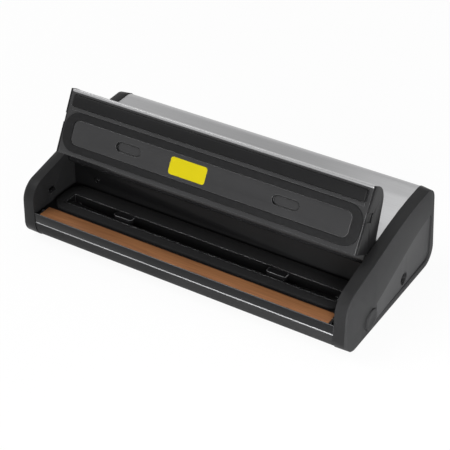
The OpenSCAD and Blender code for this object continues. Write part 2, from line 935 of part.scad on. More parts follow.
// Hollow of one stiffening bay behind the liner's face, open towards the skin
module bay_section() {
    intersection() {
        side_outline(panel_inset + skin_t + 0.001);
        above(lid_face_z + liner_t);
        before(lid_back_y - bay_wall);
        behind(front_y + panel_inset + skin_t + hem_w);
    }
}

module gasket_plan(grow = 0) {
    front = lid_back_y - gasket_s - gasket_d;
    back = lid_back_y - gasket_s;
    difference() {
        rounded_plan(gasket_half + grow, front - grow, back + grow, gasket_r + grow);
        rounded_plan(gasket_half - gasket_end_w - grow, front + gasket_w + grow, back - gasket_w - grow, 7);
    }
}

pill_w = 30;
pill_d = 10.8;
pill_depth = 3;
pill_y = stop_y;

module lid_liner() {
    inner_half = gasket_half - gasket_end_w - 0.6;
    inner_front = lid_back_y - gasket_s - gasket_d + gasket_w + 0.6;
    inner_back = lid_back_y - gasket_s - gasket_w - 0.6;
    bar_front = lid_back_y - bar_s - bar_w;
    color(gloss_black) lid_open() difference() {
        union() {
            across(cap_x) difference() {
                lid_outline(panel_inset);
                skin_section();
            }
            // raised panel inside the gasket
            translate([0, 0, lid_face_z - panel_proud])
                linear_extrude(panel_proud + 0.5) rounded_plan(inner_half, inner_front, inner_back, 6.4);
            // rib between the gasket and the pressure bar
            box(-bar_half, bar_half, lid_back_y - bar_s + 0.6, lid_back_y - bar_s + 0.6 + rib_w, lid_face_z - 0.8,
                lid_face_z + 0.5);
        }
        for (i = [0 : liner_bays - 1])
            along_x(-cap_x + bay_wall + i * bay_l, -cap_x + (i + 1) * bay_l) bay_section();
        translate([0, 0, lid_face_z - 1]) linear_extrude(gasket_depth + 1) gasket_plan(0.05);
        box(-bar_half - 0.05, bar_half + 0.05, bar_front - 0.05, bar_front + bar_w + 0.05, lid_face_z - 1,
            lid_face_z + bar_depth);
        mirrored_pair() translate([stop_x, pill_y, lid_face_z - 1]) difference() {
            linear_extrude(pill_depth + 1) slot_plan(pill_w, pill_d);
            translate([0, 0, pill_depth - 0.4]) linear_extrude(4) slot_plan(pill_w - 3, pill_d - 3);
        }
        mirrored_pair() x_cylinder(cap_x - 5, cap_x + 1, hinge_y, hinge_z, hinge_pin_r);
        mirrored_pair() catch_pocket();
    }
}

// Room for a catch's hook in the lid's end: a lead-in from below, a ledge and the pocket
module catch_pocket() {
    y0 = hook_y - hook_w / 2 - 1;
    w = hook_w + 2;
    deep = catch_reach + 1.4;
    box(inner_x - deep, inner_x, y0, y0 + w, hook_z - 0.4, hook_z + hook_h + 1.2);
    box(inner_x - lid_side_gap - 0.8, inner_x, y0, y0 + w, lid_face_z - 1, hook_z - 1.8);
}

module lid_cap() {
    lid_open() difference() {
        along_x(cap_x, lid_half) lid_outline(cap_proud);
        x_cylinder(cap_x - 1, lid_half + 1, hinge_y, hinge_z, hinge_pin_r);
        catch_pocket();
    }
}

module right_lid_cap() {
    color(gloss_black) lid_cap();
}

module left_lid_cap() {
    color(gloss_black) mirror([1, 0, 0]) lid_cap();
}

module lid_gasket() {
    color(foam_black) lid_open() translate([0, 0, lid_face_z - gasket_proud])
        linear_extrude(gasket_proud + gasket_depth) gasket_plan();
}

module pressure_bar() {
    front = lid_back_y - bar_s - bar_w;
    color(foam_black) lid_open() box(
        -bar_half, bar_half, front, front + bar_w, lid_face_z - bar_proud, lid_face_z + bar_depth
    );
}

module hinge_pins() {
    color(steel) lid_open() mirrored_pair()
        x_cylinder(cap_x - 5, boss_x - 2, hinge_y, hinge_z, hinge_pin_r);
}

// ---------------------------------------------------------------- release buttons and catches

button_face_x = body_w / 2 + 0.6;

module release_button() {
    color(grey_cover) difference() {
        union() {
            x_cylinder(cover_x - 0.4, button_face_x, button_y, button_z, release_r);
            // the nub that pushes the catch
            x_cylinder(catch_pin_x + catch_plate_t / 2 + 0.4, cover_x, button_y, button_z, 1);
            // ears that keep the button behind its cover
            for (side = [-1, 1])
                box(cover_x - 1.2, cover_x - 0.4, button_y + side * release_r - 1.5, button_y + side * release_r + 1.5,
                    button_z - 3, button_z + 3);
        }
        // shallow finger dish
        translate([button_face_x + 59.5, button_y, button_z]) sphere(60);
        translate([0, 0, 0]) difference() {
            x_cylinder(cover_x - 1, cover_x + 1.2, button_y, button_z, release_r - 1.4);
            x_cylinder(cover_x - 2, cover_x + 2, button_y, button_z, 2);
        }
    }
}

module right_release_button() {
    release_button();
}

module left_release_button() {
    mirror([1, 0, 0]) release_button();
}

// A rocker: the lower arm is pushed in by the button, so the upper arm draws the hook out of the lid
module catch() {
    plate_x0 = catch_pin_x - catch_plate_t / 2;
    plate_x1 = catch_pin_x + catch_plate_t / 2;
    hub_y0 = hook_y - hook_w / 2 - 0.7;
    hub_y1 = button_y + 4.1;
    color(gloss_black) difference() {
        union() {
            y_cylinder(catch_pin_x, hub_y0, hub_y1, catch_pin_z, 2.8);
            box(plate_x0, plate_x1, hook_y - hook_w / 2, hook_y + hook_w / 2, catch_pin_z, hook_z + hook_h);
            box(plate_x0, plate_x1, button_y - 3, button_y + 3, button_z - 3.4, catch_pin_z);
            // the hook: flat below, ramped above
            translate([0, hook_y + hook_w / 2, 0]) rotate([90, 0, 0]) linear_extrude(hook_w) polygon([
                [plate_x0 + 0.1, hook_z], [inner_x - catch_reach, hook_z], [inner_x - catch_reach, hook_z + 0.8],
                [inner_x - 0.2, hook_z + hook_h], [plate_x0 + 0.1, hook_z + hook_h]
            ]);
        }
        y_cylinder(catch_pin_x, hub_y0 - 1, hub_y1 + 1, catch_pin_z, catch_pin_r + pin_play);
    }
}

module right_catch() {
    catch();
}

module left_catch() {
    mirror([1, 0, 0]) catch();
}

// ---------------------------------------------------------------- vacuum pump and electrics

floor_z = base_z + panel_inset + shell_t;
silicone = [0.8, 0.8, 0.78];
motor_x = 70;
motor_y = 34;
motor_z = base_z + 26;
motor_r = 14;
motor_l = 46;
head_x = motor_x + motor_l / 2 + 1;
head_w = 34;
head_d = 36;
crank_x = head_x + 6;
crank_w = 5;
crank_r = 6.5;
crank_throw = 1.6;
shaft_r = 1.6;

module pump_motor() {
    color([0.5, 0.5, 0.52]) {
        difference() {
            union() {
                x_cylinder(motor_x - motor_l / 2, motor_x + motor_l / 2, motor_y, motor_z, motor_r);
                x_cylinder(motor_x - motor_l / 2 - 3, motor_x - motor_l / 2 + 1, motor_y, motor_z, 5);
            }
            x_cylinder(motor_x + motor_l / 2 - 12, motor_x + motor_l / 2 + 1, motor_y, motor_z, shaft_r + pin_play);
        }
    }
}

nozzle_x = head_x + 25;
nozzle_z = base_z + 7.8;

// A diaphragm pump head round the crank, with a suction nozzle in front and an outlet beside it
module pump_housing() {
    front = motor_y - head_d / 2;
    color(matte_black) difference() {
        union() {
            box(head_x, head_x + head_w, front, motor_y + head_d / 2, floor_z + 1.2, motor_z + 15);
            y_cylinder(nozzle_x, front - 7, front + 1, nozzle_z, hose_bore);
            x_cylinder(head_x + head_w - 1, head_x + head_w + 3.5, port_y, port_z, hose_bore);
            for (y = [motor_y - 9, motor_y + 9]) translate([head_x + 22, y, motor_z + 14]) cylinder(h = 5, r = 6);
        }
        x_cylinder(head_x - 1, crank_x + crank_w + 1, motor_y, motor_z, crank_r + crank_throw + 1);
        y_cylinder(nozzle_x, front - 8, front + 6, nozzle_z, suction_r);
        x_cylinder(head_x + head_w - 6, head_x + head_w + 5, port_y, port_z, suction_r);
    }
}

module pump_crank() {
    color(steel) {
        x_cylinder(motor_x + motor_l / 2 - 11, crank_x + crank_w, motor_y, motor_z, shaft_r);
        x_cylinder(crank_x, crank_x + crank_w, motor_y, motor_z + crank_throw, crank_r);
    }
}

// Sheet-metal saddle that stands the pump on the base
module pump_bracket() {
    x0 = motor_x - motor_l / 2 + 4;
    x1 = motor_x + motor_l / 2 - 4;
    color(steel) difference() {
        union() {
            box(x0, head_x + head_w, motor_y - head_d / 2, motor_y + head_d / 2, floor_z, floor_z + 1.2);
            box(x0, x1, motor_y - 15, motor_y + 15, floor_z, motor_z - 4);
        }
        x_cylinder(x0 - 1, x1 + 1, motor_y, motor_z, motor_r);
        box(x0 + 3, x1 - 3, motor_y - 30, motor_y + 30, floor_z + 1.2, floor_z + 7);
    }
}

hose_r = 3.4;
hose_bore = 1.9;
bend_r = 6;

module hose_ring() {
    difference() {
        circle(hose_r);
        circle(hose_bore);
    }
}

module hose_run(l) {
    linear_extrude(l) hose_ring();
}

// From the nozzle on the pump's front, along the base and up to the barb below the trough
module vacuum_hose() {
    bend_y = suction_y + bend_r;
    color(silicone) translate([nozzle_x, 0, 0]) {
        translate([0, bend_y, nozzle_z]) rotate([-90, 0, 0])
            hose_run(motor_y - head_d / 2 - 0.3 - bend_y);
        translate([0, bend_y, nozzle_z + bend_r]) rotate([0, -90, 0]) rotate([0, 0, 180])
            rotate_extrude(angle = 90) translate([bend_r, 0]) hose_ring();
        translate([0, suction_y, nozzle_z + bend_r])
            hose_run(tray_bottom_z - trough_wall - 0.3 - nozzle_z - bend_r);
    }
}

valve_x = inner_x - 39;
valve_l = 20;

// Short lengths from the pump to the valve and from the valve to the hose port
module port_hose() {
    color(silicone) for (run = [[head_x + head_w, valve_x], [valve_x + valve_l, inner_x - 6]])
        translate([run[0] + 0.2, port_y, port_z]) rotate([0, 90, 0]) hose_run(run[1] - run[0] - 0.4);
}

module air_valve() {
    color([0.35, 0.35, 0.36]) difference() {
        union() {
            box(valve_x, valve_x + valve_l, port_y - 9, port_y + 9, floor_z, port_z + 7);
            x_cylinder(valve_x - 3.5, valve_x + valve_l + 3.5, port_y, port_z, hose_bore);
            x_cylinder(valve_x + 4, valve_x + valve_l - 4, port_y, port_z + 10, 6);
        }
        x_cylinder(valve_x - 6, valve_x + valve_l + 6, port_y, port_z, 1.1);
    }
}

module transformer() {
    x0 = -120;
    y0 = 6;
    color([0.3, 0.3, 0.32]) {
        difference() {
            box(x0, x0 + 52, y0, y0 + 26, floor_z, floor_z + 44);
            for (z = [8, 27]) box(x0 + 9, x0 + 43, y0 - 1, y0 + 27, floor_z + z, floor_z + z + 9);
        }
        box(x0 + 10, x0 + 42, y0 - 9, y0 + 35, floor_z + 9, floor_z + 35);
    }
}

module power_board() {
    x0 = -55;
    y0 = 12;
    color([0.05, 0.25, 0.12]) {
        box(x0, x0 + 84, y0, y0 + 56, floor_z + 5, floor_z + 6.6);
        for (x = [x0 + 4, x0 + 80], y = [y0 + 4, y0 + 52]) translate([x, y, floor_z]) cylinder(h = 5.2, r = 2.4);
        for (i = [0 : 2]) translate([x0 + 18 + i * 16, y0 + 42, floor_z + 6]) cylinder(h = 22, r = 5.5);
        box(x0 + 12, x0 + 32, y0 + 10, y0 + 24, floor_z + 6, floor_z + 22);
        box(x0 + 46, x0 + 72, y0 + 10, y0 + 16, floor_z + 6, floor_z + 16);
    }
}

// ---------------------------------------------------------------- the nodes

base_tray();
front_fascia();
front_trim();
chamber_deck();
drip_tray();
bag_stops();
lower_gasket();
heater_bar();
heating_ribbon();
release_tape();
left_cheek();
right_cheek();
left_side_cover();
right_side_cover();
top_panel();
rear_cover();
control_strip();
indicator_lenses();
control_board();
hose_port();
mains_inlet();
inlet_pins();
rubber_feet();
base_screws();
catch_pins();
lid_sensor();
lid_skin();
lid_liner();
left_lid_cap();
right_lid_cap();
lid_gasket();
pressure_bar();
hinge_pins();
left_release_button();
right_release_button();
left_catch();
right_catch();
key_1();
key_2();
key_3();
key_4();
pump_housing();
pump_motor();
pump_crank();
pump_bracket();
vacuum_hose();
port_hose();
air_valve();
transformer();
power_board();
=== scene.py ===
import json
import math

import bpy
from mathutils import Matrix, Vector

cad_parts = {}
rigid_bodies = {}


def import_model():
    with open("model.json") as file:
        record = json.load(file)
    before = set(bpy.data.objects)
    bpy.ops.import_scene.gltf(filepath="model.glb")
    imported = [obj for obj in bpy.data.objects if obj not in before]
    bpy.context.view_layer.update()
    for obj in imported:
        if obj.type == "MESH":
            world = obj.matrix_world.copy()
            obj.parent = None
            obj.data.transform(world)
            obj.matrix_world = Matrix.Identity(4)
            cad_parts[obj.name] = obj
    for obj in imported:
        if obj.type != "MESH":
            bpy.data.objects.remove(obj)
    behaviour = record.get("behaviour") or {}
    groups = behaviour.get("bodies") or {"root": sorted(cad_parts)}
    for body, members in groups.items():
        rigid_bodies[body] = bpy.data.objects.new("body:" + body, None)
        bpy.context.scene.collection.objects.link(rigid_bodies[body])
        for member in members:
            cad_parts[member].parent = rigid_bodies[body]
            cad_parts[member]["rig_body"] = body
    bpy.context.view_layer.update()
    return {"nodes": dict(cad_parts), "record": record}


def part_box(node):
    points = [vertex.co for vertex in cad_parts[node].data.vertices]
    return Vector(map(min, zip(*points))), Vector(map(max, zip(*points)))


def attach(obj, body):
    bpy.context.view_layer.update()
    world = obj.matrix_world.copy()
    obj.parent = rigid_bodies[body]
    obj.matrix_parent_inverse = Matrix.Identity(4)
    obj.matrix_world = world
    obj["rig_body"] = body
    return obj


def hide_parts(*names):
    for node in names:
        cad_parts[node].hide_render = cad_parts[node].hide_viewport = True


MM = 0.001

# Side outlines of the body, in millimetres: nose height, slope in degrees and top height of each
NOSE_Y = -73
NOSE_R = 22
REAR_Y = 74.5
CHEEK_OUTLINE = (47.2, 14.7, 100)
COVER_OUTLINE = (47.2, 12.2, 94.5)
FLATTER_OUTLINE = (48.4, 12.93, 96)

# The solid shell's outline passes evenly from CHEEK_OUTLINE at CHEEK_X to COVER_OUTLINE at COVER_X. Above
# DECK_Z it moves to FLATTER_OUTLINE, less COVER_DROP from COVER_X on. Cuts at CROWN_CUTS_Y let it bend.
CHEEK_X = 175.5
COVER_X = 187
DECK_Z = 40
COVER_DROP = 1.0
CROWN_CUTS_Y = range(-40, 76, 8)

# The covers lean in by COVER_LEAN degrees. In front of CATCH_ROOM_Y, where the catches swing, only what lies
# outside OUTER_X leans.
COVER_LEAN = 1.6
OUTER_X = 187.2
CATCH_ROOM_Y = -39

# The shell pieces, and what is fitted into them, that move to the flatter outline
CROWNED = {
    "left_cheek", "right_cheek", "left_side_cover", "right_side_cover", "top_panel", "rear_cover",
    "control_strip", "indicator_lenses", "control_board", "key_1", "key_2", "key_3", "key_4",
}

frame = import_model()


# ---------------------------------------------------------------- selection and finishing

# Material slots of a moulding. With SAME_SLOT, rounded edges take the material of the faces beside them.
SAME_SLOT = -1
MAIN_SLOT = 0
# Slot of a painted highlight on the rounded edges
HIGHLIGHT_SLOT = 1
# Slot of a sunk panel painted lighter: painted light
PAINTED_LIGHT_SLOT = 2

# Corners nearer than MERGE_WITHIN millimetres become one, and so do faces that meet at less than FLAT_BELOW
# degrees. Edges of less than SMOOTH_BELOW degrees are shaded smooth.
MERGE_WITHIN = 0.002
FLAT_BELOW = 1
SMOOTH_BELOW = 40


def clear_selection():
    if bpy.context.mode != "OBJECT":
        bpy.ops.object.mode_set(mode="OBJECT")
    bpy.ops.object.select_all(action="DESELECT")


def work_on(piece):
    clear_selection()
    piece.select_set(True)
    bpy.context.view_layer.objects.active = piece


def edit_all(piece):
    work_on(piece)
    bpy.ops.object.mode_set(mode="EDIT")
    bpy.ops.mesh.select_all(action="SELECT")


def object_mode():
    bpy.ops.object.mode_set(mode="OBJECT")


def place_in_mesh(piece):
    work_on(piece)
    bpy.ops.object.transform_apply(location=True, rotation=True, scale=True)


def apply_modifiers(piece):
    work_on(piece)
    for modifier in list(piece.modifiers):
        bpy.ops.object.modifier_apply(modifier=modifier.name)


def round_edges(piece, width, segments=3, angle=32, slot=SAME_SLOT):
    """Rounds every edge sharper than an angle in degrees by a width in millimetres, in the slot's material."""
    bevel = piece.modifiers.new("rounded edges", "BEVEL")
    bevel.width = width * MM
    bevel.segments = segments
    bevel.limit_method = "ANGLE"
    bevel.angle_limit = math.radians(angle)
    bevel.use_clamp_overlap = True
    bevel.material = slot
    bevel.miter_outer = "MITER_ARC"
    apply_modifiers(piece)


def smooth(piece):
    work_on(piece)
    bpy.ops.object.shade_smooth_by_angle(angle=math.radians(SMOOTH_BELOW))


def finish_with(piece, material):
    piece.data.materials.clear()
    piece.data.materials.append(material)


def carry(piece, body, slot, *nodes):
    """Lets a piece ride on a body and stand for any nodes named. The slot argument is not used."""
    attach(piece, body)
    if nodes:
        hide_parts(*nodes)
    return piece


def height_over(y, nose_z, slope, top):
    """Height of a side outline at depth y: nose arc, straight slope, crown arc, level top."""
    sine, cosine = math.sin(math.radians(slope)), math.cos(math.radians(slope))
    if y < NOSE_Y - NOSE_R * sine:
        return nose_z + math.sqrt(max(0, NOSE_R**2 - (y - NOSE_Y) ** 2))
    reach = cosine * nose_z - sine * NOSE_Y + NOSE_R
    crown = (reach + sine * REAR_Y - cosine * top) / (1 - cosine)
    if y < REAR_Y - crown * sine:
        return (reach + sine * y) / cosine
    return top - crown + math.sqrt(crown**2 - (min(y, REAR_Y) - REAR_Y) ** 2)


def crown_fall(x, y, z):
    """How far down a point of the shell moves, from nothing at DECK_Z to all the way at the outline."""
    out = min(1, max(0, (abs(x) - CHEEK_X) / (COVER_X - CHEEK_X)))
    inner, outer = height_over(y, *CHEEK_OUTLINE), height_over(y, *COVER_OUTLINE)
    solid = inner + (outer - inner) * out
    flatter = height_over(y, *FLATTER_OUTLINE) - COVER_DROP * out
    return (solid - flatter) * min(1, max(0, (z - DECK_Z) / (solid - DECK_Z)))


def crowned(piece, lean):
    """Moves a shell piece to the flatter outline, and leans it in towards the top by an angle in degrees."""
    edit_all(piece)
    for y in CROWN_CUTS_Y:
        bpy.ops.mesh.select_all(action="SELECT")
        bpy.ops.mesh.bisect(plane_co=(0, y * MM, 0), plane_no=(0, 1, 0))
    object_mode()
    for vertex in piece.data.vertices:
        x, y, z = (c / MM for c in vertex.co)
        z -= crown_fall(x, y, z)
        if abs(x) > OUTER_X or y > CATCH_ROOM_Y:
            x -= math.copysign(z * math.tan(math.radians(lean)), x)
        vertex.co = (x * MM, y * MM, z * MM)


def moulded(node, material, edge):
    """A copy of a solid that stands for it, with its edges rounded by a width in millimetres."""
    solid = frame["nodes"][node]
    piece = bpy.data.objects.new(node + "_moulding", solid.data.copy())
    bpy.context.scene.collection.objects.link(piece)
    work_on(piece)
    bpy.ops.mesh.customdata_custom_splitnormals_clear()
    edit_all(piece)
    bpy.ops.mesh.remove_doubles(threshold=MERGE_WITHIN * MM)
    bpy.ops.mesh.dissolve_limited(angle_limit=math.radians(FLAT_BELOW))
    object_mode()
    finish_with(piece, material)
    # Listed mouldings get a second, lighter material on their rounded edges: a painted highlight
    if node in PAINTED_EDGE_HIGHLIGHTS:
        piece.data.materials.append(PAINTED_EDGE_HIGHLIGHTS[node])
    if node in CROWNED:
        crowned(piece, COVER_LEAN if node.endswith("side_cover") else 0)
    if edge:
        round_edges(piece, edge, slot=HIGHLIGHT_SLOT if node in PAINTED_EDGE_HIGHLIGHTS else SAME_SLOT)
    smooth(piece)
    record_slot = next(p["material_slot"] for p in frame["record"]["subparts"] if p["node"] == node)
    return carry(piece, solid["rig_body"], record_slot, node)


# ---------------------------------------------------------------- finishes


def new_finish(name):
    material = bpy.data.materials.new(name)
    material.use_nodes = True
    tree = material.node_tree
    shader = tree.nodes["Principled BSDF"]
    return material, tree, shader


def object_pattern(tree, scale=(1, 1, 1)):
    """Coordinates of the piece itself, so that a pattern goes along when the piece moves."""
    where = tree.nodes.new("ShaderNodeTexCoord")
    mapping = tree.nodes.new("ShaderNodeMapping")
    mapping.inputs["Scale"].default_value = scale
    tree.links.new(where.outputs["Object"], mapping.inputs["Vector"])
    return mapping.outputs["Vector"]


def noise(tree, vector, scale, detail=3.0, roughness=0.55):
    texture = tree.nodes.new("ShaderNodeTexNoise")
    texture.inputs["Scale"].default_value = scale
    texture.inputs["Detail"].default_value = detail
    texture.inputs["Roughness"].default_value = roughness
    tree.links.new(vector, texture.inputs["Vector"])
    return texture.outputs["Fac"]


def graded(tree, factor, low, high):
    """A value that runs from low to high with the factor."""
    ramp = tree.nodes.new("ShaderNodeMapRange")
    ramp.inputs["To Min"].default_value = low
    ramp.inputs["To Max"].default_value = high
    tree.links.new(factor, ramp.inputs["Value"])
    return ramp.outputs["Result"]


def two_tone(tree, factor, dark, light, low=0.3, high=0.7):
    ramp = tree.nodes.new("ShaderNodeValToRGB")
    ramp.color_ramp.elements[0].position = low
    ramp.color_ramp.elements[1].position = high
    ramp.color_ramp.elements[0].color = (*dark, 1)
    ramp.color_ramp.elements[1].color = (*light, 1)
    tree.links.new(factor, ramp.inputs["Fac"])
    return ramp.outputs["Color"]


def bumped(tree, shader, height, strength, depth):
    bump = tree.nodes.new("ShaderNodeBump")
    bump.inputs["Strength"].default_value = strength
    bump.inputs["Distance"].default_value = depth
    tree.links.new(height, bump.inputs["Height"])
    tree.links.new(bump.outputs["Normal"], shader.inputs["Normal"])


def moulded_plastic(name, colour, roughness, grain=1400, strength=0.12, gloss=0.4, vary=0.12):
    """Injection-moulded plastic with a fine texture and a little unevenness in its sheen."""
    material, tree, shader = new_finish(name)
    place = object_pattern(tree)
    fine = noise(tree, place, grain, 2.0)
    broad = noise(tree, place, 18, 3.0)
    light = tuple(c * (1 + vary) for c in colour)
    dark = tuple(c * (1 - vary) for c in colour)
    tree.links.new(two_tone(tree, broad, dark, light), shader.inputs["Base Color"])
    tree.links.new(graded(tree, broad, roughness - 0.04, roughness + 0.04), shader.inputs["Roughness"])
    shader.inputs["Specular IOR Level"].default_value = gloss
    bumped(tree, shader, fine, strength, 0.1 * MM)
    return material


def brushed_metal(name, colour, roughness, strength):
    """Steel sheet brushed along the body."""
    material, tree, shader = new_finish(name)
    place = object_pattern(tree, scale=(1, 90, 90))
    lines = noise(tree, place, 28, 4.0, 0.65)
    light = tuple(min(1, c * 1.08) for c in colour)
    dark = tuple(c * 0.9 for c in colour)
    tree.links.new(two_tone(tree, lines, dark, light), shader.inputs["Base Color"])
    tree.links.new(graded(tree, lines, roughness - 0.05, roughness + 0.07), shader.inputs["Roughness"])
    shader.inputs["Metallic"].default_value = 1.0
    bumped(tree, shader, lines, strength, 0.05 * MM)
    return material


def foam_rubber(name, colour):
    """Closed-cell foam: matt, with small open cells on its skin."""
    material, tree, shader = new_finish(name)
    place = object_pattern(tree)
    cells = tree.nodes.new("ShaderNodeTexVoronoi")
    cells.inputs["Scale"].default_value = 1300
    tree.links.new(place, cells.inputs["Vector"])
    mottled = noise(tree, place, 240, 3.0)
    light = tuple(c * 1.3 for c in colour)
    dark = tuple(c * 0.75 for c in colour)
    tree.links.new(two_tone(tree, mottled, dark, light), shader.inputs["Base Color"])
    shader.inputs["Roughness"].default_value = 0.85
    shader.inputs["Specular IOR Level"].default_value = 0.25
    bumped(tree, shader, cells.outputs["Distance"], 0.35, 0.15 * MM)
    return material


def plain_metal(name, colour, roughness):
    material, tree, shader = new_finish(name)
    place = object_pattern(tree)
    patches = noise(tree, place, 260, 3.0)
    dark = tuple(c * 0.9 for c in colour)
    tree.links.new(two_tone(tree, patches, dark, colour), shader.inputs["Base Color"])
    tree.links.new(graded(tree, patches, roughness - 0.05, roughness + 0.05), shader.inputs["Roughness"])
    shader.inputs["Metallic"].default_value = 1.0
    return material


def coated_cloth(name, dark, light):
    """Brown release tape: fine threads along the strip under a smooth coating, with darker heat marks."""
    material, tree, shader = new_finish(name)
    along = object_pattern(tree, scale=(1, 60, 60))
    threads = noise(tree, along, 26, 3.0, 0.6)
    marks = noise(tree, object_pattern(tree, scale=(1, 6, 6)), 14, 3.0)
    base = two_tone(tree, threads, dark, light, 0.25, 0.75)
    worn = tree.nodes.new("ShaderNodeMix")
    worn.data_type = "RGBA"
    worn.blend_type = "MULTIPLY"
    worn.inputs["Factor"].default_value = 1.0
    tree.links.new(base, worn.inputs["A"])
    tree.links.new(two_tone(tree, marks, (0.80, 0.78, 0.76), (1.0, 1.0, 1.0)), worn.inputs["B"])
    tree.links.new(worn.outputs["Result"], shader.inputs["Base Color"])
    tree.links.new(graded(tree, threads, 0.34, 0.46), shader.inputs["Roughness"])
    shader.inputs["Specular IOR Level"].default_value = 0.35
    bumped(tree, shader, threads, 0.25, 0.08 * MM)
    return material


black_shell = moulded_plastic("black textured plastic", (0.0170, 0.0170, 0.0175), 0.42, gloss=0.10)
fascia_black = moulded_plastic("black fascia plastic", (0.0320, 0.0320, 0.0325), 0.50, gloss=0.02)
deck_black = moulded_plastic(
    "black deck plastic", (0.0060, 0.0060, 0.0063), 0.30, grain=1600, strength=0.05, gloss=0.24
)
# Painted highlight: a light colour on the tray's rounded rim, standing for light caught there
painted_tray_highlight = moulded_plastic("tray rim, painted highlight", (0.50, 0.50, 0.51), 0.22, grain=1600, strength=0.01)
# Painted highlight: a light colour on the deck's rounded edges
painted_deck_highlight = moulded_plastic("deck edge, painted highlight", (0.34, 0.34, 0.345), 0.25, grain=1600, strength=0.02)
gloss_black = moulded_plastic(
    "polished black plastic", (0.0060, 0.0060, 0.0064), 0.13, grain=900, strength=0.01, gloss=0.5
)
trim_black = moulded_plastic(
    "polished trim plastic", (0.0060, 0.0062, 0.0068), 0.16, grain=900, strength=0.01, gloss=0.22
)
# Painted highlight: a light colour on the fascia's upper rounded edge
painted_fascia_highlight = moulded_plastic("fascia edge, painted highlight", (0.42, 0.42, 0.43), 0.22, grain=900, strength=0.01)
# Painted highlight, kept dim: a lighter colour on the trim's rounded edges
painted_trim_highlight = moulded_plastic("trim edge, painted highlight", (0.070, 0.070, 0.072), 0.22, grain=900, strength=0.01)
# Painted highlight: a light colour on the bag stops' rounded edges
painted_stop_highlight = moulded_plastic("bag stop edge, painted highlight", (0.22, 0.22, 0.224), 0.25, grain=900, strength=0.01)
liner_black = moulded_plastic(
    "satin black lid plastic", (0.0160, 0.0160, 0.0168), 0.24, grain=1200, strength=0.03, gloss=0.42
)
# Painted highlight: a light colour on the lid liner's rounded edges
painted_liner_highlight = moulded_plastic("liner edge, painted highlight", (0.140, 0.140, 0.143), 0.26, grain=1200, strength=0.02)
cover_grey = moulded_plastic(
    "satin charcoal plastic", (0.0400, 0.0402, 0.0412), 0.42, grain=1500, strength=0.06, gloss=0.02
)
# Painted light: the side covers' sunk panel, tinted lighter than the same plastic around it
panel_grey_painted_light = moulded_plastic(
    "charcoal sunk panel, painted lighter", (0.078, 0.0782, 0.0800), 0.45, grain=1500, strength=0.06, gloss=0.02
)
# Painted highlight: a slightly lighter colour on the side covers' rounded rim
painted_cover_highlight = moulded_plastic(
    "charcoal rim, painted highlight", (0.055, 0.055, 0.0560), 0.34, grain=1500, strength=0.04, gloss=0.1
)
cap_black = moulded_plastic(
    "black cap plastic", (0.010, 0.010, 0.0105), 0.34, grain=1400, strength=0.06, gloss=0.12
)
gasket_foam = foam_rubber("black sealing foam", (0.0070, 0.0070, 0.0074))
ring_foam = foam_rubber("deck sealing foam", (0.0045, 0.0045, 0.0048))
bar_silicone = moulded_plastic(
    "black silicone", (0.0050, 0.0050, 0.0053), 0.50, grain=700, strength=0.05, gloss=0.16
)
foot_rubber = moulded_plastic(
    "black foot rubber", (0.010, 0.010, 0.010), 0.8, grain=500, strength=0.2, gloss=0.2
)
top_steel = brushed_metal("brushed stainless steel", (0.39, 0.39, 0.395), 0.30, strength=0.22)
hem_steel = brushed_metal("bright steel edge", (0.40, 0.40, 0.405), 0.34, strength=0.0)
pin_steel = plain_metal("bright steel", (0.58, 0.58, 0.59), 0.28)
heat_tape = coated_cloth("brown release tape", (0.175, 0.070, 0.026), (0.330, 0.145, 0.058))
board_green = moulded_plastic("circuit board lacquer", (0.02, 0.11, 0.05), 0.4)
hose_clear = moulded_plastic("milky hose", (0.55, 0.55, 0.52), 0.35)
lens_clear = moulded_plastic("clear lamp lens", (0.55, 0.68, 0.74), 0.12, strength=0.0)
label_yellow = moulded_plastic(
    "yellow label film", (0.50, 0.42, 0.003), 0.45, strength=0.0, gloss=0.15, vary=0.04
)

# The painted highlights of the rounded edges: lighter colours that stand for light caught along them
PAINTED_EDGE_HIGHLIGHTS = {
    "chamber_deck": painted_deck_highlight,
    "drip_tray": painted_tray_highlight,
    "front_trim": painted_trim_highlight,
    "front_fascia": painted_fascia_highlight,
    "bag_stops": painted_stop_highlight,
    "lid_liner": painted_liner_highlight,
    "left_side_cover": painted_cover_highlight,
    "right_side_cover": painted_cover_highlight,
}


# ---------------------------------------------------------------- mouldings that stand for the solids

